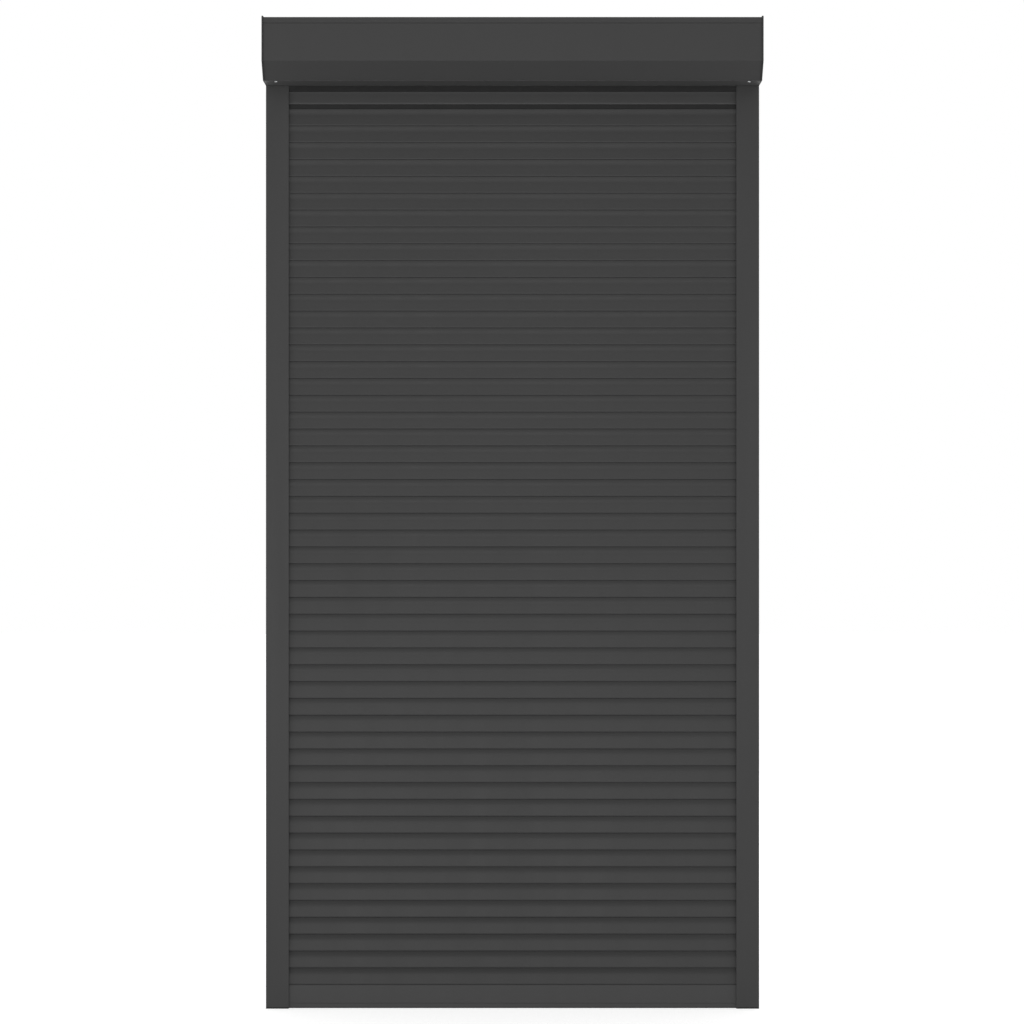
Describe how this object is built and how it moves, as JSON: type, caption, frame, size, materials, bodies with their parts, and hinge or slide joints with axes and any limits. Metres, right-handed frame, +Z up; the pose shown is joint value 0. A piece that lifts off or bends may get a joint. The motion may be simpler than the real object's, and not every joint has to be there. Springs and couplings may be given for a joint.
{
  "type": "exterior roller shutter",
  "caption": "Front-mounted exterior roller shutter: a 45 degree box, guide rails, a hooked slat curtain and a tube-motor winding shaft.",
  "frame": {"origin": "on the sill, at the middle of the shutter's width and of the box's depth", "axes": "+X along the box to the right seen from the street, +Y from the street to the wall, +Z up"},
  "size_m": [1.1, 0.137, 2.195],
  "materials": {
    "grey_coated_sheet": "satin",
    "grey_coated_rail": "satin",
    "grey_coated_slat": "satin",
    "grey_coated_bar": "satin",
    "cast_aluminium": "satin",
    "mill_aluminium": "satin",
    "zinc_steel": "satin",
    "spring_steel": "satin",
    "motor_metal": "satin",
    "black_rubber": "matte",
    "black_plastic": "matte",
    "grey_soft_plastic": "matte",
    "foam": "matte"
  },
  "bodies": {
    "root": {"end_cap_left": "cast_aluminium", "end_cap_right": "cast_aluminium", "rear_top_shell": "grey_coated_sheet", "front_panel": "grey_coated_sheet", "underside_cover": "grey_coated_sheet", "cover_screws": "zinc_steel", "shell_screws": "zinc_steel", "cable_grommet": "black_rubber", "outlet_seal_carrier": "mill_aluminium", "outlet_seal": "black_rubber", "inlet_funnel_left": "black_plastic", "inlet_funnel_right": "black_plastic", "guide_rail_left": "grey_coated_rail", "guide_rail_right": "grey_coated_rail", "rail_seal_left_front": "grey_soft_plastic", "rail_seal_left_back": "grey_soft_plastic", "rail_seal_right_front": "grey_soft_plastic", "rail_seal_right_back": "grey_soft_plastic", "rail_end_plug_left": "black_plastic", "rail_end_plug_right": "black_plastic", "idler_bearing_bush": "black_plastic", "motor_bracket": "zinc_steel", "bracket_screws": "zinc_steel", "motor_head": "black_plastic", "motor_tube": "motor_metal"},
    "curtain": {"bottom_bar": "grey_coated_bar", "bottom_bar_seal": "black_rubber", "bottom_bar_end_plugs": "black_plastic", "slats": "grey_coated_slat", "slat_foam_cores": "foam", "slat_end_locks": "black_plastic", "hanger_clips": "black_plastic", "suspension_straps": "spring_steel"},
    "shaft": {"winding_shaft": "zinc_steel", "idler_end_plug": "black_plastic", "idler_pin": "zinc_steel", "motor_crown_ring": "black_plastic", "motor_output_shaft": "zinc_steel", "motor_drive_wheel": "black_plastic", "shaft_screw": "zinc_steel"}
  },
  "joints": [
    {"name": "curtain_lift", "type": "slide", "parent": "root", "child": "curtain", "axis": [0, 0, 1], "range_m": [0, 2], "deforming": ["slats", "slat_foam_cores", "slat_end_locks", "hanger_clips", "suspension_straps"]},
    {"name": "shaft_turn", "type": "hinge", "parent": "root", "child": "shaft", "pos_m": [0, 0, 2.1265], "axis": [1, 0, 0], "range_deg": [0, 2160]}
  ],
  "couplings": [
    {"joint": "shaft_turn", "follows": "curtain_lift", "rad_per_m": 18.85}
  ]
}
